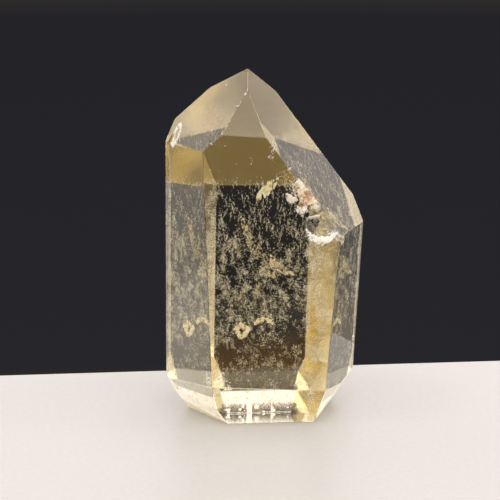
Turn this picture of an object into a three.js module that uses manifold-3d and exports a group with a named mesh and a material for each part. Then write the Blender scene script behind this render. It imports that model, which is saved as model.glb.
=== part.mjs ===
// Free-standing citrine crystal: a six-sided quartz prism with a six-faced tip, cut square at the
// bottom and bevelled round its foot so that it stands upright. Millimetres, +Z up, front face to -Y.
// The crystal is one solid. It is ground out of a plain hexagonal blank, one flat facet at a time,
// the way a lapidary grinds it.
import * as THREE from 'three';
import * as BufferGeometryUtils from 'three/addons/utils/BufferGeometryUtils.js';
import Module from 'manifold-3d';

const wasm = await Module();
wasm.setup();

// Driving dimensions
const HEIGHT = 69.8; // base to the worn tip
const BLANK_RADIUS = 36; // corner radius of the hexagonal blank, clear of every facet
const BLANK_HEIGHT = 84; // blank before the tip is ground
const LAP_SIZE = 160; // the grinding block that takes one facet, larger than the blank

// A facet faces the compass direction `azimuth` (0 = front, 90 = right, in degrees) and looks up by
// `lift` degrees. A prism or foot facet stands `reach` from the vertical axis at the base level.
const PRISM_FACETS = [
  { azimuth: 0, lift: 1.2, reach: 15.4 }, // front, the broadest
  { azimuth: 62, lift: -3.7, reach: 16.4 }, // right, widening upward
  { azimuth: 118.8, lift: -1.2, reach: 15.15 }, // back right
  { azimuth: 180.7, lift: 0.4, reach: 15.2 }, // back
  { azimuth: -119.8, lift: 1.1, reach: 16 }, // back left
  { azimuth: -56.7, lift: -0.8, reach: 18 }, // left
];

// A tip facet crosses the vertical axis at `peak` above the base.
const TIP_FACETS = [
  { azimuth: 3, lift: 33.9, peak: 79.4 }, // the small front triangle
  { azimuth: 61.2, lift: 32.5, peak: 68 }, // right, the largest
  { azimuth: 120.7, lift: 32.3, peak: 68.15 }, // back right
  { azimuth: 179.3, lift: 35.7, peak: 65 }, // back
  { azimuth: -119.1, lift: 44.6, peak: 74.8 }, // back left
  { azimuth: -56.8, lift: 44.9, peak: 74.8 }, // left
];

const FOOT_FACETS = [
  { azimuth: -1.2, lift: -17.8, reach: 12.7 }, // front bevel
  { azimuth: 59.3, lift: -22, reach: 14.3 }, // right bevel
  { azimuth: 68.1, lift: -30.6, reach: 13.15 }, // second cut at the right corner
  { azimuth: 118.8, lift: -22.8, reach: 12 }, // back-right bevel
  { azimuth: 180.7, lift: -20, reach: 13.3 }, // back bevel
  { azimuth: -119.8, lift: -20.2, reach: 12.7 }, // back-left bevel
  { azimuth: -54.3, lift: -20.5, reach: 15.15 }, // left bevel
  { azimuth: -57.5, lift: -36.9, reach: 13.7 }, // second, lower cut on the left
];

function toSolid(geometry) {
  const bare = geometry.clone();
  bare.deleteAttribute('normal');
  bare.deleteAttribute('uv');
  const merged = BufferGeometryUtils.mergeVertices(bare);
  const mesh = new wasm.Mesh({
    numProp: 3,
    vertProperties: new Float32Array(merged.attributes.position.array),
    triVerts: new Uint32Array(merged.index.array),
  });
  return new wasm.Manifold(mesh);
}

function toGeometry(solid) {
  const mesh = solid.getMesh();
  const geometry = new THREE.BufferGeometry();
  geometry.setAttribute('position', new THREE.BufferAttribute(mesh.vertProperties, mesh.numProp));
  geometry.setIndex(new THREE.BufferAttribute(mesh.triVerts, 1));
  return geometry;
}

function makeBlank() {
  const outline = new THREE.Shape();
  for (let corner = 0; corner < 6; corner += 1) {
    const angle = THREE.MathUtils.degToRad(60 * corner);
    const x = BLANK_RADIUS * Math.cos(angle);
    const y = BLANK_RADIUS * Math.sin(angle);
    if (corner === 0) outline.moveTo(x, y);
    else outline.lineTo(x, y);
  }
  outline.closePath();
  return toSolid(new THREE.ExtrudeGeometry(outline, { depth: BLANK_HEIGHT, bevelEnabled: false }));
}

function facetNormal(azimuth, lift) {
  const a = THREE.MathUtils.degToRad(azimuth);
  const l = THREE.MathUtils.degToRad(lift);
  return new THREE.Vector3(Math.cos(l) * Math.sin(a), -Math.cos(l) * Math.cos(a), Math.sin(l));
}

// The grinding block: a cube whose one side lies in the facet's plane and whose body is outside it.
function lapBlock(normal, distance) {
  const block = new THREE.BoxGeometry(LAP_SIZE, LAP_SIZE, LAP_SIZE);
  block.translate(0, 0, LAP_SIZE / 2 + distance);
  const turn = new THREE.Quaternion().setFromUnitVectors(new THREE.Vector3(0, 0, 1), normal);
  block.applyQuaternion(turn);
  return toSolid(block);
}

function grind(solid, facet) {
  const normal = facetNormal(facet.azimuth, facet.lift);
  const level = Math.hypot(normal.x, normal.y);
  const distance = facet.peak === undefined ? facet.reach * level : facet.peak * normal.z;
  return solid.subtract(lapBlock(normal, distance));
}

// Puts the middle of the crystal's outline on the vertical axis; its base is already on Z = 0.
function centreOnAxis(geometry) {
  geometry.computeBoundingBox();
  const middle = geometry.boundingBox.getCenter(new THREE.Vector3());
  geometry.translate(-middle.x, -middle.y, 0);
  return geometry;
}

function makeCrystal() {
  let solid = makeBlank();
  for (const facet of [...PRISM_FACETS, ...TIP_FACETS, ...FOOT_FACETS]) {
    solid = grind(solid, facet);
  }
  solid = solid.subtract(lapBlock(new THREE.Vector3(0, 0, 1), HEIGHT));
  return centreOnAxis(toGeometry(solid));
}

const citrine = new THREE.MeshStandardMaterial({
  color: 0xd9c48a,
  roughness: 0.05,
  metalness: 0,
  transparent: true,
  opacity: 0.6,
});

const crystalPoint = new THREE.Mesh(makeCrystal(), citrine);
crystalPoint.name = 'citrine_point';

const group = new THREE.Group();
group.add(crystalPoint);

export default group;
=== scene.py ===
import math
import random

import bmesh
import bpy
import numpy as np
from mathutils import Matrix, Vector, noise


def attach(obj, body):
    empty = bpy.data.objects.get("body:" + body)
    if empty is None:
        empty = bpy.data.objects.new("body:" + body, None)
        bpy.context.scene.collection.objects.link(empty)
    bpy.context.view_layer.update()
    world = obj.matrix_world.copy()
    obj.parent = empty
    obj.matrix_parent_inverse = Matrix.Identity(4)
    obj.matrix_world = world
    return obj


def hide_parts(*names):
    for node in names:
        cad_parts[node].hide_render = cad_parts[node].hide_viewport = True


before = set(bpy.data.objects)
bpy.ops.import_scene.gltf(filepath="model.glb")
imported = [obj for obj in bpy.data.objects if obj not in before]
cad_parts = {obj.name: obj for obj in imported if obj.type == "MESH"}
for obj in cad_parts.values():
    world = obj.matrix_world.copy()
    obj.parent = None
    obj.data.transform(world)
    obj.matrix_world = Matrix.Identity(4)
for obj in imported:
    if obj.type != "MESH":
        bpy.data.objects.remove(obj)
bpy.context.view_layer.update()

# The board that the crystal stands on: a narrow wooden plank with eased edges, rolled with pale matt
# paint. It ends a little way behind the crystal, so that the dim end of the room shows past it.
MM = 0.001
BOARD_SIZE = (520 * MM, 84 * MM, 16 * MM)
BOARD_FAR_EDGE = 24 * MM
BOARD_GAP = 0.05 * MM
BOARD_EDGE_ROUND = 2 * MM
PAINT_TINTS = [(0.3, (0.455, 0.445, 0.415)), (0.7, (0.485, 0.475, 0.44))]
PAINT_GRAIN_SCALE = 900.0
PAINT_ROUGHNESS = 0.42


def material(name):
    """A new material, with its node tree, its shader and its output."""
    made = bpy.data.materials.new(name)
    made.use_nodes = True
    nodes = made.node_tree.nodes
    shader = next(n for n in nodes if n.type == "BSDF_PRINCIPLED")
    output = next(n for n in nodes if n.type == "OUTPUT_MATERIAL")
    return made, made.node_tree, shader, output


def node(tree, kind, links=None, **settings):
    """One node: settings are its fixed inputs and options, links joins inputs to other nodes."""
    made = tree.nodes.new(kind)
    for key, value in settings.items():
        if key in made.inputs:
            made.inputs[key].default_value = value
        else:
            setattr(made, key, value)
    for key, source in (links or {}).items():
        tree.links.new(source, made.inputs[key])
    return made


def ramp(tree, source, stops):
    """A colour ramp. Each stop is a position with a colour, or with one number for a grey."""
    made = tree.nodes.new("ShaderNodeValToRGB")
    tree.links.new(source, made.inputs["Fac"])
    elements = made.color_ramp.elements
    while len(elements) < len(stops):
        elements.new(0.5)
    for element, (position, colour) in zip(elements, stops):
        element.position = position
        element.color = (*colour, 1) if isinstance(colour, tuple) else (colour, colour, colour, 1)
    return made


def new_object(name, mesh_or_bm):
    """Puts a mesh, finished or still being edited, into the scene under the name."""
    if isinstance(mesh_or_bm, bmesh.types.BMesh):
        mesh = bpy.data.meshes.new(name)
        mesh_or_bm.to_mesh(mesh)
        mesh_or_bm.free()
    else:
        mesh = mesh_or_bm
    made = bpy.data.objects.new(name, mesh)
    bpy.context.scene.collection.objects.link(made)
    return made


bm = bmesh.new()
bmesh.ops.create_cube(bm, size=1)
bmesh.ops.scale(bm, vec=BOARD_SIZE, verts=bm.verts)
bmesh.ops.bevel(bm, geom=bm.edges[:], offset=BOARD_EDGE_ROUND, segments=4, affect="EDGES", profile=0.5)
middle = Vector((0, BOARD_FAR_EDGE - BOARD_SIZE[1] / 2, -BOARD_GAP - BOARD_SIZE[2] / 2))
bmesh.ops.translate(bm, vec=middle, verts=bm.verts)
board = new_object("board", bm)
paint, tree, shader, _ = material("pale_matt_paint")
place = node(tree, "ShaderNodeTexCoord")
grain = node(tree, "ShaderNodeTexNoise", {"Vector": place.outputs["Object"]},
             Scale=PAINT_GRAIN_SCALE, Detail=4.0)
tint = ramp(tree, grain.outputs["Fac"], PAINT_TINTS)
tree.links.new(tint.outputs["Color"], shader.inputs["Base Color"])
shader.inputs["Roughness"].default_value = PAINT_ROUGHNESS
board.data.materials.append(paint)

# The room: soft light off its walls and ceiling, bright above the board and dim below it. It differs
# behind the crystal and before it, and is a little lighter low down at its two ends. Heights in it
# run from -1, straight down, to 1, straight up.
ROOM_BEHIND = [
    (-0.75, (0.062, 0.05, 0.024)), (-0.60, 0.05), (-0.40, (0.10, 0.07, 0.04)), (-0.335, (0.09, 0.05, 0.02)),
    (-0.3215, (0.062, 0.031, 0.008)), (-0.3165, (0.020, 0.021, 0.025)), (-0.158, (0.017, 0.018, 0.022)),
    (-0.139, (0.12, 0.10, 0.055)), (-0.09, 0.42), (-0.05, 0.58), (0.0, 1.0), (0.05, 1.5), (0.25, 1.8),
    (0.45, 1.5), (0.60, 1.35), (0.85, 1.0), (1.0, 0.7),
]
ROOM_BEFORE = [
    (-0.75, (0.085, 0.07, 0.045)), (-0.45, 0.08), (-0.36, 0.05), (-0.31, 0.05), (-0.18, 0.09),
    (-0.13, 0.85), (0.0, 1.05), (0.25, 1.2), (0.45, 1.3), (0.62, 1.25), (0.79, 1.05), (0.90, 0.85),
    (1.0, 0.7),
]
ROOM_ENDS = [(0.28, 0.0), (0.66, 0.125), (0.80, 0.24), (1.0, 0.36)]
ROOM_ENDS_HEIGHT = [(-0.42, 0.0), (-0.34, 1.0), (-0.12, 1.0), (0.0, 0.0)]
ROOM_TINT = (1.0, 0.945, 0.955)

world = bpy.data.worlds.new("studio_room")
bpy.context.scene.world = world
world.use_nodes = True
tree = world.node_tree
background = next(n for n in tree.nodes if n.type == "BACKGROUND")
facing = node(tree, "ShaderNodeTexCoord")
split = node(tree, "ShaderNodeSeparateXYZ", {"Vector": facing.outputs["Generated"]})
height = node(tree, "ShaderNodeMapRange", {"Value": split.outputs["Z"]},
              **{"From Min": -1.0, "From Max": 1.0})


def room_ramp(stops):
    """A colour ramp whose stops stand at heights in the room."""
    return ramp(tree, height.outputs["Result"], [((z + 1) / 2, colour) for z, colour in stops])


behind = room_ramp(ROOM_BEHIND)
before = room_ramp(ROOM_BEFORE)
depth = node(tree, "ShaderNodeMapRange", {"Value": split.outputs["Y"]},
             **{"From Min": -0.25, "From Max": 0.25})
total = node(tree, "ShaderNodeMixRGB", {
    "Fac": depth.outputs["Result"], "Color1": before.outputs["Color"], "Color2": behind.outputs["Color"],
})
aside = node(tree, "ShaderNodeMath", {0: split.outputs["X"]}, operation="ABSOLUTE")
ends = ramp(tree, aside.outputs[0], ROOM_ENDS)
low = room_ramp(ROOM_ENDS_HEIGHT)
ends_light = node(tree, "ShaderNodeMixRGB", {
    "Color1": ends.outputs["Color"], "Color2": low.outputs["Color"],
}, blend_type="MULTIPLY", Fac=1.0)
total = node(tree, "ShaderNodeMixRGB", {
    "Color1": total.outputs["Color"], "Color2": ends_light.outputs["Color"],
}, blend_type="ADD", Fac=1.0)

# Soft patches of light hang on the walls, and of shade where the strength is below zero. Each is a
# compass angle from straight behind the crystal, a lift, both in degrees, a sharpness and a strength.
SOFT_PATCHES = (
    (150, 55, 14, 0.3), (-53, 37, 30, 0.6), (43, 0.5, 500, 0.2), (-150, 32, 16, 1.7),
    (142, 62, 14, 1.4), (-20, 35, 60, -0.35), (53, 14, 30, -0.5), (-42, -2, 120, -0.4),
    (-98, 62, 400, 18), (97, 41, 300, 14), (52, 73, 300, 14),
)


def direction(angle, lift, straight=-1):
    """The way to a compass angle and a lift, in degrees. The angle counts from straight in front of
    the crystal, or from straight behind it when straight is 1."""
    around, up = math.radians(angle), math.radians(lift)
    level = math.cos(up)
    return Vector((math.sin(around) * level, straight * math.cos(around) * level, math.sin(up)))


for angle, lift, sharpness, strength in SOFT_PATCHES:
    near = node(tree, "ShaderNodeVectorMath", {0: facing.outputs["Generated"]}, operation="DOT_PRODUCT")
    near.inputs[1].default_value = direction(angle, lift, straight=1)
    facing_it = node(tree, "ShaderNodeMath", {0: near.outputs["Value"]}, operation="MAXIMUM")
    facing_it.inputs[1].default_value = 0.0
    falloff = node(tree, "ShaderNodeMath", {0: facing_it.outputs[0]}, operation="POWER")
    falloff.inputs[1].default_value = sharpness
    patch_light = node(tree, "ShaderNodeMath", {0: falloff.outputs[0]}, operation="MULTIPLY")
    patch_light.inputs[1].default_value = strength
    total = node(tree, "ShaderNodeMixRGB", {
        "Color1": total.outputs["Color"], "Color2": patch_light.outputs[0],
    }, blend_type="ADD", Fac=1.0)
warmed = node(tree, "ShaderNodeMixRGB", {"Color1": total.outputs["Color"]}, blend_type="MULTIPLY", Fac=1.0)
warmed.inputs["Color2"].default_value = (*ROOM_TINT, 1)
tree.links.new(warmed.outputs["Color"], background.inputs["Color"])
background.inputs["Strength"].default_value = 1.0

# A faint soft box hangs high in front, a little to the right, and faces the crystal.
LAMP_PLACE = Vector((0.14, -0.42, 0.60))
LAMP_AIM = Vector((0, 0, 0.03))
LAMP_SIZE = (0.6, 0.5)
LAMP_POWER = 0.5

soft_box = bpy.data.lights.new("soft_box", "AREA")
soft_box.shape = "RECTANGLE"
soft_box.size, soft_box.size_y = LAMP_SIZE
soft_box.energy = LAMP_POWER
lamp = bpy.data.objects.new("soft_box", soft_box)
bpy.context.scene.collection.objects.link(lamp)
lamp.location = LAMP_PLACE
lamp.rotation_mode = "QUATERNION"
lamp.rotation_quaternion = (LAMP_PLACE - LAMP_AIM).to_track_quat("Z", "Y")

# The camera looks at the broad front face from a little left of it and a little above, through a
# long lens.
CAMERA_AIM = Vector((-2.6, 0, 32.3)) * MM
CAMERA_ANGLE = -5.4
CAMERA_LIFT = 15.3
CAMERA_DISTANCE = 456.5 * MM
CAMERA_LENS = 163.8
CAMERA_FILM_WIDTH = 36
NEAREST_SEEN = 10 * MM

camera_data = bpy.data.cameras.new("camera")
camera_data.sensor_width = CAMERA_FILM_WIDTH
camera_data.lens = CAMERA_LENS
camera_data.clip_start = NEAREST_SEEN
camera = bpy.data.objects.new("camera", camera_data)
bpy.context.scene.collection.objects.link(camera)
to_camera = direction(CAMERA_ANGLE, CAMERA_LIFT)
camera.location = CAMERA_AIM + to_camera * CAMERA_DISTANCE
camera.rotation_mode = "QUATERNION"
camera.rotation_quaternion = to_camera.to_track_quat("Z", "Y")
bpy.context.scene.camera = camera
bpy.context.scene.view_settings.view_transform = "Standard"

# Light crosses the crystal many times before it leaves, so the renderer has to follow it that far.
cycles = bpy.context.scene.cycles
cycles.max_bounces = 32
cycles.glossy_bounces = 24
cycles.transmission_bounces = 24
cycles.sample_clamp_indirect = 12.0

# The crystal: clear honey quartz, grown as one piece, its faces lapped flat and polished by hand.
# The polish rounds every edge a little. Its foot is left with a fine ground base.
EDGE_ROUND = 0.12 * MM
EDGE_STEPS = 3
SAME_POINT = 0.01 * MM
SAME_FACE = math.radians(0.4)

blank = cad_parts["citrine_point"]
outline = bpy.data.meshes.new("outline")
outline.from_pydata([v.co for v in blank.data.vertices], [], [tuple(f.vertices) for f in blank.data.polygons])
bm = bmesh.new()
bm.from_mesh(outline)
bmesh.ops.remove_doubles(bm, verts=bm.verts, dist=SAME_POINT)
bmesh.ops.dissolve_limit(bm, angle_limit=SAME_FACE, verts=bm.verts, edges=bm.edges)
corner_lines = [(e.verts[0].co.copy(), e.verts[1].co.copy()) for e in bm.edges]
bmesh.ops.bevel(bm, geom=bm.edges[:], offset=EDGE_ROUND, segments=EDGE_STEPS, affect="EDGES", profile=0.5)
bmesh.ops.triangulate(bm, faces=[f for f in bm.faces if len(f.verts) > 4])
crystal = new_object("citrine_crystal", bm)

# Knocks taken out of it: one shell-shaped scar on the long front edge, and small nicks on other edges.
# Each is the centre of an ellipsoid, its three half-sizes, and its turn about the front-back axis.
SCAR = ((10.0, -16.2, 41.0), (4.0, 2.9, 4.3), 35)
NICKS = (
    ((0.7, -14.5, 57.1), (0.9, 0.8, 0.5), 50), ((0.1, -15.1, 54.9), (0.5, 0.8, 0.9), 20),
    ((15.0, -13.2, 37.6), (1.6, 1.0, 0.8), -35), ((-17.9, -5.0, 57.6), (0.75, 0.9, 2.6), 25),
    ((-19.3, -6.6, 45.0), (0.4, 0.5, 0.9), 0), ((-19.2, -6.5, 37.2), (0.35, 0.5, 0.7), 0),
    ((-19.1, -6.4, 29.3), (0.4, 0.5, 1.1), 0), ((-19.0, -6.3, 22.5), (0.3, 0.5, 0.6), 0),
    ((19.7, -1.5, 32.0), (0.4, 0.6, 0.7), 0), ((17.5, -2.0, 14.0), (0.4, 0.6, 0.8), 0),
    ((-9.9, -14.6, 48.0), (0.4, 0.4, 0.7), 0), ((-8.3, -13.9, 8.0), (0.8, 0.6, 0.4), 0),
)
SCAR_FINENESS = 5
NICK_FINENESS = 3
SCAR_RIPPLE = 0.035 * MM
SCAR_RIPPLE_GAP = 0.75 * MM
SCAR_RIPPLE_START = 0.6
LUMP_SHARE = 0.10
GRAIN_SHARE = 0.02
SHARP_FROM = math.radians(22)
SMALL_FACE = 0.05 * MM * MM

tools = bmesh.new()
for (centre, half, turn), fineness in [(SCAR, SCAR_FINENESS)] + [(nick, NICK_FINENESS) for nick in NICKS]:
    ball = bmesh.new()
    bmesh.ops.create_icosphere(ball, subdivisions=fineness, radius=1)
    spin = Matrix.Rotation(math.radians(turn), 3, "Y")
    for vert in ball.verts:
        local = Vector([c * h * MM for c, h in zip(vert.co, half)])
        away = math.hypot(local.x, local.z - half[2] * SCAR_RIPPLE_START * MM)
        lumps = noise.noise(Vector(centre) + vert.co * 1.6)
        grains = noise.noise(vert.co * 6.5)
        local *= 1 + LUMP_SHARE * lumps + GRAIN_SHARE * grains
        if fineness == SCAR_FINENESS:
            local.y += SCAR_RIPPLE * math.sin(2 * math.pi * away / SCAR_RIPPLE_GAP)
        vert.co = spin @ local + Vector(centre) * MM
    one = bpy.data.meshes.new("tool")
    ball.to_mesh(one)
    ball.free()
    tools.from_mesh(one)
    bpy.data.meshes.remove(one)
cutter = new_object("chip_cutter", tools)
chipping = crystal.modifiers.new("chips", "BOOLEAN")
chipping.operation = "DIFFERENCE"
chipping.object = cutter
chipping.solver = "EXACT"
bpy.context.view_layer.update()
chipped = bpy.data.meshes.new_from_object(crystal.evaluated_get(bpy.context.evaluated_depsgraph_get()))
crystal.modifiers.clear()
crystal.data = chipped
bpy.data.objects.remove(cutter)
chipped.set_sharp_from_angle(angle=SHARP_FROM)
for face in chipped.polygons:
    face.use_smooth = face.area < SMALL_FACE

# Long paths through the quartz look more yellow. The polish is smeared in places, and the base, which
# faces down, is only ground. Three faces at the back kept a satin skin: each is the way it faces, its
# lift, both in degrees, and how much rougher than the polish it is.
QUARTZ_IOR = 1.544
ABSORPTION_DENSITY = 17.7
ABSORPTION_COLOUR = (0.66, 0.52, 0.01)
SMEAR_SCALE = 140.0
SMEAR_ROUGHNESS = 0.03
GROUND_ROUGHNESS = 0.09
BASE_FACES = -0.9
NATURAL_SKINS = ((118.8, 0, 0.07), (-119.8, 0, 0.07), (179.3, 35.7, 0.17))
SKIN_EDGES = {"From Min": 0.993, "From Max": 0.996}

quartz, tree, shader, output = material("honey_quartz")
shader.inputs["Base Color"].default_value = (1, 1, 1, 1)
shader.inputs["Transmission Weight"].default_value = 1.0
shader.inputs["IOR"].default_value = QUARTZ_IOR
place = node(tree, "ShaderNodeTexCoord")
smear = node(tree, "ShaderNodeTexNoise", {"Vector": place.outputs["Object"]},
             Scale=SMEAR_SCALE, Detail=3.0)
polish = node(tree, "ShaderNodeMapRange", {"Value": smear.outputs["Fac"]},
              **{"From Min": 0.45, "From Max": 0.75, "To Min": 0.0, "To Max": SMEAR_ROUGHNESS})

# Light that strikes a face from inside meets it from the back, so the face's direction is turned round
# there to point out of the crystal again.
surface = node(tree, "ShaderNodeNewGeometry")
side = node(tree, "ShaderNodeMapRange", {"Value": surface.outputs["Backfacing"]},
            **{"To Min": 1.0, "To Max": -1.0})
outward = node(tree, "ShaderNodeVectorMath", {
    0: surface.outputs["True Normal"], "Scale": side.outputs["Result"],
}, operation="SCALE")
down = node(tree, "ShaderNodeSeparateXYZ", {"Vector": outward.outputs["Vector"]})
ground_base = node(tree, "ShaderNodeMath", {0: down.outputs["Z"]}, operation="LESS_THAN")
ground_base.inputs[1].default_value = BASE_FACES
roughness = node(tree, "ShaderNodeMapRange", {
    "Value": ground_base.outputs[0], "To Min": polish.outputs["Result"],
}, **{"To Max": GROUND_ROUGHNESS})
for angle, lift, satin in NATURAL_SKINS:
    near = node(tree, "ShaderNodeVectorMath", {0: outward.outputs["Vector"]}, operation="DOT_PRODUCT")
    near.inputs[1].default_value = direction(angle, lift)
    skin = node(tree, "ShaderNodeMapRange", {"Value": near.outputs["Value"]},
                **SKIN_EDGES, **{"To Min": 0.0, "To Max": satin})
    roughness = node(tree, "ShaderNodeMath", {
        0: roughness.outputs[0], 1: skin.outputs["Result"],
    }, operation="ADD")
tree.links.new(roughness.outputs[0], shader.inputs["Roughness"])
absorption = node(tree, "ShaderNodeVolumeAbsorption", Density=ABSORPTION_DENSITY)
absorption.inputs["Color"].default_value = (*ABSORPTION_COLOUR, 1)
tree.links.new(absorption.outputs["Volume"], output.inputs["Volume"])
crystal.data.materials.clear()
crystal.data.materials.append(quartz)
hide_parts("citrine_point")
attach(crystal, "root")

# The etched back. The broad back face kept its natural skin: thousands of fine frosted pits and
# flecks just under the surface, long and upright near the shoulder, a dense grain lower down.
FLECK_DEPTH = (0.04 * MM, 0.55 * MM)
FLECK_THICKNESS = 0.03 * MM
LONE_FLECK_TRIES = 52000
LONE_FLECK_SHARE = 0.36
CLUMP_TRIES = 5800
CLUMP_SHARE = 0.85
FLECK_SEED = 11
# How much of the face is frosted at each height, in millimetres, from 0 to about 1.
COVER_HEIGHTS = (0, 2.4, 2.8, 5, 7, 11, 15, 26, 32, 38, 42, 44.5, 46, 60)
COVER = (0.27, 0.26, 0.18, 0.24, 0.35, 0.31, 0.60, 0.53, 0.27, 0.15, 0.11, 0.09, 0.006, 0.006)
# Places with more frost or less: across, up, half-width, half-height, and the change in cover.
COVER_SPOTS = (
    (-6.5, 33, 3.0, 4.5, 0.20), (-6.0, 26.5, 1.8, 2.2, -0.42), (6.6, 14.5, 2.2, 4.5, -0.55),
    (7.0, 36.5, 2.8, 4.6, -0.05), (2.2, 35.0, 1.6, 3.0, -0.06), (-6.5, 9.0, 3.4, 1.4, -0.40),
    (-3.2, 14.4, 2.2, 2.0, -0.40), (0.2, 28.8, 1.8, 2.4, -0.30),
)
MOTTLE_STRENGTH = 2.3
SAME_WAY = 0.99999
SAME_REACH = 0.02 * MM

planes = []
for face in blank.data.polygons:
    normal = Vector(face.normal)
    reach = normal.dot(blank.data.vertices[face.vertices[0]].co)
    if all(normal.dot(n) < SAME_WAY or abs(reach - r) > SAME_REACH for n, r in planes):
        planes.append((normal, reach))
plane_normals = np.array([tuple(n) for n, r in planes])
plane_reaches = np.array([r for n, r in planes])


def depth_inside(point):
    """How far the point lies under the nearest face of the crystal."""
    return float(np.min(plane_reaches - plane_normals @ np.array(point)))


def back_surface(x, z):
    """How far back the crystal reaches at x, z."""
    facing_back = plane_normals[:, 1] > 0.02
    normals = plane_normals[facing_back]
    room_left = plane_reaches[facing_back] - normals[:, 0] * x - normals[:, 2] * z
    return float(np.min(room_left / normals[:, 1]))


def on_the_back(x, z, depth):
    """The point the given depth under the back of the crystal at x, z (in millimetres)."""
    return Vector((x * MM, back_surface(x * MM, z * MM) - depth, z * MM))


def grain_noise(x, z, across, along, seed):
    """Clouds over the back face, of the given width and height."""
    return noise.noise(Vector((x / across, z / along, seed)))


def patch(x, z, centre_x, centre_z, half_x, half_z):
    """A soft oval patch: 1 at its centre, fading to nothing outside."""
    return math.exp(-((x - centre_x) / half_x) ** 2 - ((z - centre_z) / half_z) ** 2)


def fleck_cover(x, z):
    """How much of the back face is frosted at x, z (in millimetres)."""
    cover = float(np.interp(z, COVER_HEIGHTS, COVER))
    for *spot, change in COVER_SPOTS:
        cover += change * patch(x, z, *spot)
    mottle = grain_noise(x, z, 1.4, 2.6, 3.1) + 0.9 * grain_noise(x, z, 0.5, 0.9, 8.4)
    return cover * (1 + MOTTLE_STRENGTH * mottle)


def upper_share(z):
    """How far up the frosted field z lies: 0 in its lower part, 1 near the shoulder."""
    return min(max((z - 22) / 16, 0), 1)


def add_flake(points, faces, centre, axes, sizes, draw, sides=4):
    """One small closed flake: an uneven ring of corners and a point above and below it."""
    first = len(points)
    for step in range(sides):
        angle = 2 * math.pi * (step + draw.uniform(-0.25, 0.25)) / sides
        arm = draw.uniform(0.65, 1.0)
        points.append(centre + axes[0] * (sizes[0] * arm * math.cos(angle))
                      + axes[1] * (sizes[1] * arm * math.sin(angle)))
    points.append(centre + axes[2] * sizes[2])
    points.append(centre - axes[2] * sizes[2])
    for step in range(sides):
        here, after = first + step, first + (step + 1) % sides
        faces.append((here, after, first + sides))
        faces.append((after, here, first + sides + 1))


def upright_axes(lean, tip):
    """The long, wide and thin ways of an upright flake that leans aside and tips back."""
    turn = Matrix.Rotation(lean, 3, "Y") @ Matrix.Rotation(tip, 3, "X")
    return [turn @ Vector(v) for v in ((0, 0, 1), (1, 0, 0), (0, 1, 0))]


def mineral(name, stops, scale, rough, glow=0.0):
    """A dull mineral whose colour and roughness drift with a cloud pattern of the given scale. The
    glow stands for light that reaches it scattered through the crystal."""
    made, tree, shader, _ = material(name)
    place = node(tree, "ShaderNodeTexCoord")
    cloud = node(tree, "ShaderNodeTexNoise", {"Vector": place.outputs["Object"]}, Scale=scale, Detail=3.0)
    tint = ramp(tree, cloud.outputs["Fac"], stops)
    tree.links.new(tint.outputs["Color"], shader.inputs["Base Color"])
    tree.links.new(tint.outputs["Color"], shader.inputs["Emission Color"])
    shader.inputs["Emission Strength"].default_value = glow
    dull = node(tree, "ShaderNodeMapRange", {"Value": cloud.outputs["Fac"]},
                **{"To Min": rough + 0.2, "To Max": rough - 0.15})
    tree.links.new(dull.outputs["Result"], shader.inputs["Roughness"])
    return made


def sealed_piece(name, points, faces, finish):
    """Makes the flakes gathered so far one mesh, sealed inside the crystal."""
    mesh = bpy.data.meshes.new(name)
    mesh.from_pydata(points, [], faces)
    mesh.update()
    bm = bmesh.new()
    bm.from_mesh(mesh)
    bmesh.ops.recalc_face_normals(bm, faces=bm.faces)
    bm.to_mesh(mesh)
    bm.free()
    made = new_object(name, mesh)
    made.data.materials.append(finish)
    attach(made, "root")
    return made


def add_back_fleck(points, faces, x, z, draw):
    """One frosted pit at x, z (in millimetres), longer and more upright near the shoulder."""
    upper = upper_share(z)
    length = draw.lognormvariate(math.log(0.095 + 0.075 * upper), 0.55) * MM
    width = draw.uniform(0.05, 0.105 - 0.015 * upper) * MM
    centre = on_the_back(x, z, draw.uniform(*FLECK_DEPTH))
    if z < 0.5 or depth_inside(centre) < FLECK_THICKNESS + 0.4 * width:
        return
    axes = upright_axes(draw.gauss(0, 0.35 + 0.65 * (1 - upper)), draw.gauss(0, 0.2))
    add_flake(points, faces, centre, axes, (length, width, FLECK_THICKNESS), draw, sides=3)


draw = random.Random(FLECK_SEED)
points, faces = [], []
for _ in range(LONE_FLECK_TRIES):
    x, z = draw.uniform(-11.5, 12.5), draw.uniform(0.5, 52)
    if draw.random() < LONE_FLECK_SHARE * fleck_cover(x, z):
        add_back_fleck(points, faces, x, z, draw)
for _ in range(CLUMP_TRIES):
    x, z = draw.uniform(-11, 12), draw.uniform(0.5, 45)
    if draw.random() > CLUMP_SHARE * fleck_cover(x, z):
        continue
    upper = upper_share(z)
    wide = draw.uniform(0.10, 0.30) * (1 - 0.55 * upper)
    tall = draw.uniform(0.16, 0.42) * (1 + 1.7 * upper)
    slant = draw.gauss(0, 0.3)
    for _ in range(draw.randint(6, 15)):
        rise = draw.gauss(0, tall)
        add_back_fleck(points, faces, draw.gauss(x + slant * rise, wide), z + rise, draw)
frost = mineral("etched_frost", [
    (0.30, (0.74, 0.66, 0.54)), (0.48, (0.99, 0.97, 0.94)), (0.70, (1.0, 1.0, 1.0)),
], 420.0, 0.5, 0.14)
sealed_piece("etched_back_flecks", points, faces, frost)

# Along the very foot of the back the pits are painted a dark grey-brown: painted shade, for flecks that look
# dark against the bright light behind them. They lie in three close patches with clear gaps between them;
# each patch is its middle and half-width, in millimetres.
DARK_FLECK_PATCHES = ((-5.4, 2.6), (0.3, 2.0), (4.9, 2.4))
DARK_FLECK_TRIES = 9000
DARK_FLECK_SEED = 17

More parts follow.
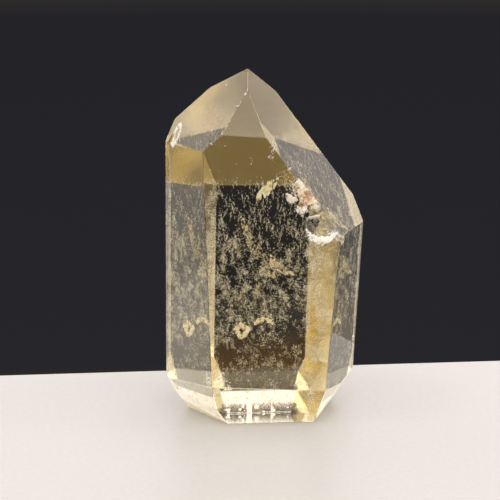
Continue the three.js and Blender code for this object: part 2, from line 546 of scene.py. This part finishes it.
draw = random.Random(DARK_FLECK_SEED)
points, faces = [], []
for _ in range(DARK_FLECK_TRIES):
    x, z = draw.uniform(-8.6, 8.0), draw.triangular(0.06, 2.6, 0.4)
    near = max(1 - abs(x - middle) / half for middle, half in DARK_FLECK_PATCHES)
    if near < 0 or grain_noise(x, z, 0.7, 0.6, 5.5) + 0.55 * near < 0.02:
        continue
    centre = on_the_back(x, z, draw.uniform(0.04, 0.4) * MM)
    if depth_inside(centre) < 0.04 * MM:
        continue
    axes = upright_axes(draw.gauss(0, 0.8), draw.gauss(0, 0.3))
    sizes = (draw.uniform(0.07, 0.16) * MM, 0.06 * MM, FLECK_THICKNESS)
    add_flake(points, faces, centre, axes, sizes, draw, sides=3)
# Their dark grey-brown is painted shade.
dark_flecks = mineral("dark_flecks_painted_shade", [
    (0.3, (0.16, 0.12, 0.09)), (0.5, (0.34, 0.28, 0.22)), (0.7, (0.60, 0.54, 0.46)),
], 900.0, 0.6)
sealed_piece("dark_flecked_foot", points, faces, dark_flecks)

# Two leaf-shaped veils lie on the back: healed cracks filled with tan grains and edged with
# bright ones. Each is a run of points across and up, with its half-width, all in millimetres.
LEAVES = (
    ((-3.8, 37.6, 0.3), (-3.0, 35.0, 0.8), (-1.6, 32.0, 1.1),
     (0.0, 29.2, 1.35), (1.6, 26.7, 1.2), (2.7, 25.2, 0.3)),
    ((1.6, 30.2, 0.2), (2.4, 28.6, 0.6), (3.8, 27.2, 0.9), (5.4, 26.2, 0.7), (6.7, 25.6, 0.2)),
)
LEAF_GRAINS = 1150
LEAF_LEAN = -0.7
LEAF_SEED = 23

draw = random.Random(LEAF_SEED)
points, faces = [], []
bright_points, bright_faces = [], []
for leaf in LEAVES:
    spots = np.array(leaf)
    for _ in range(LEAF_GRAINS):
        along = draw.uniform(0, len(leaf) - 1)
        x, z, half = (float(np.interp(along, range(len(leaf)), spots[:, k])) for k in range(3))
        side = draw.uniform(-1, 1)
        x, z = x + side * half * 0.80, z + side * half * 0.60
        if grain_noise(x, z, 0.5, 0.5, 2.2) < -0.12:
            continue
        centre = on_the_back(x, z, draw.uniform(0.6, 0.9) * MM)
        edge = abs(side) > 0.72 and along > 1.2 and draw.random() < 0.6
        target = (bright_points, bright_faces) if edge else (points, faces)
        axes = upright_axes(LEAF_LEAN + draw.gauss(0, 0.3), draw.gauss(0, 0.2))
        sizes = (draw.uniform(0.08, 0.22) * MM, draw.uniform(0.05, 0.10) * MM, FLECK_THICKNESS)
        add_flake(*target, centre, axes, sizes, draw)
tan = mineral("tan_veil", [
    (0.34, (0.50, 0.40, 0.26)), (0.48, (0.90, 0.80, 0.62)), (0.62, (1.0, 0.97, 0.90)),
], 1500.0, 0.5, 0.12)
white = mineral("white_splinter_and_glint", [
    (0.3, (0.90, 0.86, 0.78)), (0.7, (1.0, 0.98, 0.93)),
], 900.0, 0.35, 0.22)
sealed_piece("tan_leaves", points, faces, tan)
sealed_piece("tan_leaf_rims", bright_points, bright_faces, white)

# A lumpy ring and a small arch, low on the back: small cream mineral grains that grew round a bubble
# and were then sealed in by the quartz. Sizes are in millimetres.
RING_CENTRE = (-3.9, 14.1)
RING_RADIUS = 1.12
RING_LARGEST = 0.396
RING_GRAINS = 170
ARCH_CENTRE = (0.5, 15.2)
ARCH_RADIUS = 1.7
ARCH_LARGEST = 0.33
ARCH_GRAINS = 90
SMALLEST_GRAIN = 0.08
RING_SEED = 37


def add_lump(points, faces, centre, size, draw, squash=0.8):
    """A rough pebble: a coarse ball whose corners are pushed in and out."""
    ball = bmesh.new()
    bmesh.ops.create_icosphere(ball, subdivisions=1, radius=1)
    first = len(points)
    turn = Matrix.Rotation(draw.uniform(0, 6.28), 3, Vector((draw.random(), draw.random(), 1)).normalized())
    for vert in ball.verts:
        local = turn @ vert.co * size * draw.uniform(0.72, 1.1)
        points.append(centre + Vector((local.x, local.y * squash, local.z)))
    faces.extend(tuple(first + v.index for v in face.verts) for face in ball.faces)
    ball.free()


draw = random.Random(RING_SEED)
points, faces = [], []
for _ in range(RING_GRAINS):
    angle = draw.uniform(0, 2 * math.pi)
    bulge = 1 + 0.12 * math.sin(3 * angle + 0.6) + 0.08 * math.sin(5 * angle)
    x = RING_CENTRE[0] + (RING_RADIUS * bulge + draw.gauss(0, 0.22)) * math.cos(angle)
    z = RING_CENTRE[1] + (RING_RADIUS * bulge + draw.gauss(0, 0.22)) * math.sin(angle)
    centre = on_the_back(x, z, draw.uniform(0.4, 1.7) * MM)
    add_lump(points, faces, centre, draw.uniform(SMALLEST_GRAIN, RING_LARGEST) * MM, draw)
for _ in range(ARCH_GRAINS):
    angle = draw.uniform(0.05 * math.pi, 0.95 * math.pi)
    x = ARCH_CENTRE[0] + (ARCH_RADIUS + draw.gauss(0, 0.2)) * math.cos(angle)
    z = ARCH_CENTRE[1] + (ARCH_RADIUS * 0.75 + draw.gauss(0, 0.2)) * math.sin(angle)
    centre = on_the_back(x, z, draw.uniform(0.4, 1.4) * MM)
    add_lump(points, faces, centre, draw.uniform(SMALLEST_GRAIN, ARCH_LARGEST) * MM, draw)
cream = mineral("cream_grains", [
    (0.34, (0.52, 0.43, 0.28)), (0.46, (0.94, 0.87, 0.70)), (0.62, (1.0, 1.0, 0.96)),
], 1300.0, 0.4, 0.24)
sealed_piece("ring_and_arch", points, faces, cream)

# The iron-stained nest under the long front edge: a cavity filled with crumpled plates and lumps of
# mineral, rusty at the heart, peach and cream outside, with painted shade in dark patches between the
# plates and a faint painted glow. It grew in lobes; each is its centre, its radius, both in millimetres,
# and how many plates it has.
NEST_LOBES = (
    ((7.1, -13.0, 46.5), 1.75, 620), ((4.2, -13.1, 46.1), 1.2, 300), ((6.3, -13.1, 44.1), 1.35, 330),
    ((8.8, -13.0, 44.7), 1.0, 210), ((5.4, -13.0, 48.3), 1.2, 240),
)
NEST_HEART = Vector((7.2, -13.2, 46.4)) * MM
NEST_FLATNESS = 0.45
PLATES_PER_PEBBLE = 16
NEST_PAINTED_GLOW = 0.16
NEST_SEED = 53


def random_axes(draw):
    """Three ways at right angles, turned at random."""
    first = Vector((draw.gauss(0, 1), draw.gauss(0, 1), draw.gauss(0, 1))).normalized()
    second = first.cross(Vector((draw.gauss(0, 1), draw.gauss(0, 1), draw.gauss(0, 1)))).normalized()
    return first, second, first.cross(second)


draw = random.Random(NEST_SEED)
points, faces = [], []
for spot, radius, plates in NEST_LOBES:
    for _ in range(plates):
        out = random_axes(draw)[0]
        shell = radius * draw.uniform(0.45, 1.0) * (1 + 0.55 * noise.noise(out * 2.6 + Vector(spot)))
        centre = (Vector(spot) + Vector((out.x * shell, out.y * shell * NEST_FLATNESS, out.z * shell))) * MM
        if depth_inside(centre) < 0.25 * MM or noise.noise(centre / MM * 1.3) < -0.22:
            continue
        size = draw.lognormvariate(math.log(0.20), 0.45) * MM
        add_flake(points, faces, centre, random_axes(draw), (size, size * 0.7, size * 0.3), draw, sides=6)
    for _ in range(plates // PLATES_PER_PEBBLE):
        out = random_axes(draw)[0]
        out.y *= NEST_FLATNESS
        centre = (Vector(spot) + out * radius * draw.uniform(0.3, 0.95)) * MM
        size = draw.uniform(0.20, 0.46) * MM
        if depth_inside(centre) > size + 0.1 * MM:
            add_lump(points, faces, centre, size, draw, 0.85)
peach, tree, shader, _ = material("iron_stain_and_painted_light")
place = node(tree, "ShaderNodeTexCoord")
from_heart = node(tree, "ShaderNodeVectorMath", {0: place.outputs["Object"]}, operation="DISTANCE")
from_heart.inputs[1].default_value = NEST_HEART
cloud = node(tree, "ShaderNodeTexNoise", {"Vector": place.outputs["Object"]}, Scale=900.0, Detail=3.0)
wander = node(tree, "ShaderNodeMath", {
    0: cloud.outputs["Fac"], 2: from_heart.outputs["Value"],
}, operation="MULTIPLY_ADD")
wander.inputs[1].default_value = 1.6 * MM
reach = node(tree, "ShaderNodeMapRange", {"Value": wander.outputs[0]},
             **{"From Min": 0.9 * MM, "From Max": 4.4 * MM})
tint = ramp(tree, reach.outputs["Result"], [
    (0.0, (0.50, 0.22, 0.07)), (0.15, (0.86, 0.50, 0.24)), (0.28, (1.0, 0.94, 0.80)),
    (0.48, (0.98, 0.84, 0.64)), (0.72, (1.0, 0.98, 0.90)), (1.0, (0.97, 0.91, 0.78)),
])
# Dark patches multiplied into the colour are painted shade, standing for the shaded gaps between the plates.
painted_gap_shade = ramp(tree, cloud.outputs["Fac"], [(0.38, (0.45, 0.31, 0.18)), (0.50, (1.0, 1.0, 1.0))])
gap_shaded = node(tree, "ShaderNodeMixRGB", {
    "Color1": tint.outputs["Color"], "Color2": painted_gap_shade.outputs["Color"],
}, blend_type="MULTIPLY", Fac=1.0)
tree.links.new(gap_shaded.outputs["Color"], shader.inputs["Base Color"])
# The faint emission is painted light: a glow standing for light scattered to the nest through the crystal.
tree.links.new(gap_shaded.outputs["Color"], shader.inputs["Emission Color"])
shader.inputs["Emission Strength"].default_value = NEST_PAINTED_GLOW
dull = node(tree, "ShaderNodeMapRange", {"Value": cloud.outputs["Fac"]}, **{"To Min": 0.6, "To Max": 0.3})
tree.links.new(dull.outputs["Result"], shader.inputs["Roughness"])
sealed_piece("stained_nest_with_painted_light", points, faces, peach)

# The honey spindle: one flat fracture in the middle of the crystal, filled with yellow iron oxide,
# pointed at both ends, with a faint tail that runs on up to the right.
SPINDLE_ENDS = (Vector((-2.3, -8.6, 45.4)), Vector((1.9, -8.3, 49.4)))
SPINDLE_HALF_WIDTH = 1.15
SPINDLE_FLAKES = 1000
SPINDLE_TAIL = Vector((4.6, -8.0, 51.6))
TAIL_FLAKES = 60
SPINDLE_SEED = 71

draw = random.Random(SPINDLE_SEED)
points, faces = [], []
run = SPINDLE_ENDS[1] - SPINDLE_ENDS[0]
along_axis = run.normalized()
across_axis = along_axis.cross(Vector((0, -1, 0))).normalized()
for _ in range(SPINDLE_FLAKES):
    t = draw.random()
    half = SPINDLE_HALF_WIDTH * (1 - 0.3 * t) * math.sin(math.pi * t) ** 0.6
    half *= 1 - 0.45 * math.exp(-((t - 0.55) / 0.06) ** 2)
    side = draw.uniform(-1, 1)
    bow = Vector((0, 0.25 * math.cos(side * 1.5), 0))
    centre = (SPINDLE_ENDS[0] + run * t + across_axis * half * side + bow) * MM
    if noise.noise(Vector((centre.x / MM / 0.35, 0, centre.z / MM / 1.6))) < -0.18:
        continue
    axes = upright_axes(draw.gauss(0.25, 0.2), draw.gauss(0, 0.3))
    sizes = (draw.uniform(0.15, 0.42) * MM, draw.uniform(0.06, 0.12) * MM, 0.06 * MM)
    add_flake(points, faces, centre, axes, sizes, draw, sides=6)
for _ in range(TAIL_FLAKES):
    t = draw.random()
    centre = (SPINDLE_ENDS[1].lerp(SPINDLE_TAIL, t) + across_axis * draw.gauss(0, 0.5)) * MM
    sizes = (draw.uniform(0.08, 0.18) * MM, 0.05 * MM, FLECK_THICKNESS)
    add_flake(points, faces, centre, [along_axis, across_axis, Vector((0, -1, 0))], sizes, draw)
honey = mineral("yellow_fracture", [
    (0.32, (0.62, 0.46, 0.18)), (0.44, (0.93, 0.80, 0.46)),
    (0.54, (1.0, 0.95, 0.72)), (0.68, (1.0, 1.0, 0.92)),
], 1100.0, 0.35, 0.1)
sealed_piece("honey_spindle", points, faces, honey)

# White splinters: crushed quartz wherever the crystal was knocked, and lone sparks inside it, with two
# painted reflections made of the same white flecks. Each spot is a place, how far they spread across,
# deep and up, how many there are, and their size.
SPLINTER_SPOTS = (
    ((4.2, -13.3, 48.9), (0.7, 0.3, 0.8), 60, 0.16), ((5.3, -13.1, 47.8), (0.5, 0.3, 0.5), 40, 0.18),
    ((9.2, -13.2, 44.2), (0.3, 0.2, 0.5), 30, 0.18), ((6.1, -9.3, 51.8), (0.55, 0.2, 0.25), 34, 0.20),
    ((5.5, -11.2, 50.4), (0.12, 0.1, 0.12), 8, 0.16), ((9.4, -4.9, 49.8), (0.10, 0.1, 0.12), 9, 0.16),
    ((3.5, -13.7, 52.0), (0.12, 0.1, 0.12), 8, 0.14), ((0.6, -12.9, 57.0), (0.10, 0.1, 0.12), 8, 0.15),
    ((0.1, -13.8, 54.6), (0.25, 0.15, 0.20), 22, 0.18), ((0.4, -13.6, 55.8), (0.22, 0.2, 0.6), 34, 0.14),
    ((-15.1, -8.1, 56.7), (0.07, 0.1, 0.07), 6, 0.14), ((-11.2, -13.4, 57.2), (0.08, 0.1, 0.08), 6, 0.14),
    ((-8.7, -13.4, 56.8), (0.08, 0.1, 0.07), 6, 0.13), ((-16.9, -7.4, 54.2), (0.06, 0.1, 0.06), 5, 0.12),
    ((-7.4, -2.6, 66.4), (0.07, 0.1, 0.07), 5, 0.12), ((-5.9, -10.1, 63.8), (0.07, 0.1, 0.07), 6, 0.13),
    ((-3.5, -12.0, 53.4), (0.12, 0.1, 0.5), 10, 0.10), ((14.4, -12.3, 37.6), (0.5, 0.3, 0.5), 26, 0.13),
    ((-9.9, -9.3, 9.2), (0.6, 0.3, 0.7), 60, 0.26), ((-9.0, -9.4, 8.2), (0.6, 0.3, 0.5), 46, 0.24),
    ((7.0, -9.4, 7.6), (0.8, 0.2, 0.15), 50, 0.20), ((8.6, -9.6, 6.4), (0.4, 0.2, 0.5), 30, 0.18),
    ((-11.0, -12.9, 50.0), (0.10, 0.1, 0.3), 8, 0.10), ((12.4, -13.6, 38.7), (0.55, 0.3, 0.45), 110, 0.22),
    ((13.4, -13.2, 37.9), (0.4, 0.3, 0.3), 40, 0.16),
)
# A white crescent of flecks lines the lower rim of the scar, thickest at one place and thinning to its
# two ends: a painted reflection, standing for the bright light the scar's shell throws back. Sizes are in
# millimetres, and angles in degrees round the crescent's centre.
CRESCENT_CENTRE = Vector((10.2, -14.2, 40.9))
CRESCENT_RADIUS = 3.25
CRESCENT_ENDS = (178, 338)
CRESCENT_FULLEST = 290
CRESCENT_HALF_THICKNESS = 0.75
CRESCENT_FLECKS = 900
# An oval ring of white flecks under the large nick on the left shoulder is a painted glint, standing for
# light reflected off the nick.
GLINT_ENDS = (Vector((-16.8, -2.4, 59.3)), Vector((-18.5, -6.0, 55.4)))
GLINT_HALF_WIDTH = Vector((0.75, -0.35, 0.1))
GLINT_SHIFT = Vector((0.5, 0.1, -0.3))
GLINT_FLECKS = 420
REFLECTION_FLECK_SIZE = (0.10, 0.26)
SPLINTER_AND_GLINT_SEED = 89

draw = random.Random(SPLINTER_AND_GLINT_SEED)
points, faces = [], []
for spot, spread, count, size in SPLINTER_SPOTS:
    for _ in range(count):
        centre = Vector([draw.gauss(c, s) for c, s in zip(spot, spread)]) * MM
        if depth_inside(centre) < 0.08 * MM:
            continue
        length = draw.uniform(0.5, 1.3) * size * MM
        sizes = (length, length * 0.45, length * 0.25)
        add_flake(points, faces, centre, random_axes(draw), sizes, draw, sides=5)
# The crescent's white flecks are a painted reflection.
for _ in range(CRESCENT_FLECKS):
    angle = math.radians(draw.triangular(*CRESCENT_ENDS, CRESCENT_FULLEST))
    thick = CRESCENT_HALF_THICKNESS * math.sin(math.pi * (math.degrees(angle) - 174) / 168) ** 1.5
    thick *= 1 + 0.8 * noise.noise(Vector((angle * 5, 0, 7)))
    radius = CRESCENT_RADIUS + draw.uniform(-1, 1) * thick
    out = Vector((math.cos(angle) * radius, draw.uniform(0, 0.4), math.sin(angle) * radius))
    centre = (CRESCENT_CENTRE + out) * MM
    if depth_inside(centre) < 0.1 * MM:
        continue
    length = draw.uniform(*REFLECTION_FLECK_SIZE) * MM
    add_flake(points, faces, centre, random_axes(draw), (length, length * 0.5, length * 0.3), draw, sides=5)
# These white flecks are a painted reflection.
for _ in range(GLINT_FLECKS):
    angle = draw.uniform(0, 2 * math.pi)
    reach = draw.triangular(0.45, 1.05, 0.95)
    centre = GLINT_ENDS[0].lerp(GLINT_ENDS[1], 0.5 + 0.5 * reach * math.cos(angle))
    centre = (centre + GLINT_HALF_WIDTH * reach * math.sin(angle) + GLINT_SHIFT) * MM
    if depth_inside(centre) < 0.1 * MM:
        continue
    length = draw.uniform(*REFLECTION_FLECK_SIZE) * MM
    add_flake(points, faces, centre, random_axes(draw), (length, length * 0.5, length * 0.3), draw, sides=5)
sealed_piece("splinters_and_painted_glints", points, faces, white)

# Worn edges: the polishing wheel and handling left a broken line of minute white chips along them,
# close together near the tip and sparser down the long edges.
CHIPS_PER_MM = 3.2
CHIP_DEPTH = 0.10 * MM
CHIP_SIZE = 0.06
LOWEST_CHIP = 0.2 * MM
WEAR_SEED = 101

draw = random.Random(WEAR_SEED)
points, faces = [], []
for low, high in corner_lines:
    if min(low.z, high.z) < LOWEST_CHIP:
        continue
    length = (high - low).length
    for _ in range(int(length / MM * CHIPS_PER_MM)):
        spot = low.lerp(high, draw.random())
        if draw.random() > 0.25 + 0.75 * max(0, spot.z / MM - 50) / 20:
            continue
        if noise.noise(spot / MM * 0.9) < -0.15:
            continue
        inward = Vector((-spot.x, -spot.y, 0.0)).normalized()
        centre = spot + inward * (CHIP_DEPTH + draw.random() * CHIP_DEPTH)
        if depth_inside(centre) < 0.07 * MM:
            continue
        along = (high - low).normalized()
        across = along.cross(inward).normalized()
        size = draw.lognormvariate(math.log(CHIP_SIZE), 0.45) * MM
        add_flake(points, faces, centre, (along, across, inward), (size * 2.0, size, size * 0.6), draw)
sealed_piece("worn_edges", points, faces, white)

# A rosy stain high on the left: the faintest cloud of brown-pink iron dust behind the left tip face,
# caught in the quartz as it grew. Each spot is a centre, its spread, both in millimetres, and a count.
STAIN_SPOTS = (
    ((-10.6, -5.4, 60.8), (1.1, 0.8, 1.7), 620), ((-9.4, -7.8, 59.8), (0.8, 0.5, 1.1), 420),
    ((0.9, -12.6, 55.6), (0.5, 0.3, 0.9), 60),
)
STAIN_SEED = 97

draw = random.Random(STAIN_SEED)
points, faces = [], []
for spot, spread, count in STAIN_SPOTS:
    for _ in range(count):
        centre = Vector([draw.gauss(c, s) for c, s in zip(spot, spread)]) * MM
        if depth_inside(centre) < 0.1 * MM:
            continue
        length = draw.uniform(0.06, 0.13) * MM
        add_flake(points, faces, centre, random_axes(draw), (length, length * 0.7, length * 0.4), draw)
rosy = mineral("rosy_dust", [(0.3, (0.62, 0.34, 0.22)), (0.7, (0.86, 0.56, 0.42))], 500.0, 0.6, 0.08)
sealed_piece("rosy_stain", points, faces, rosy)
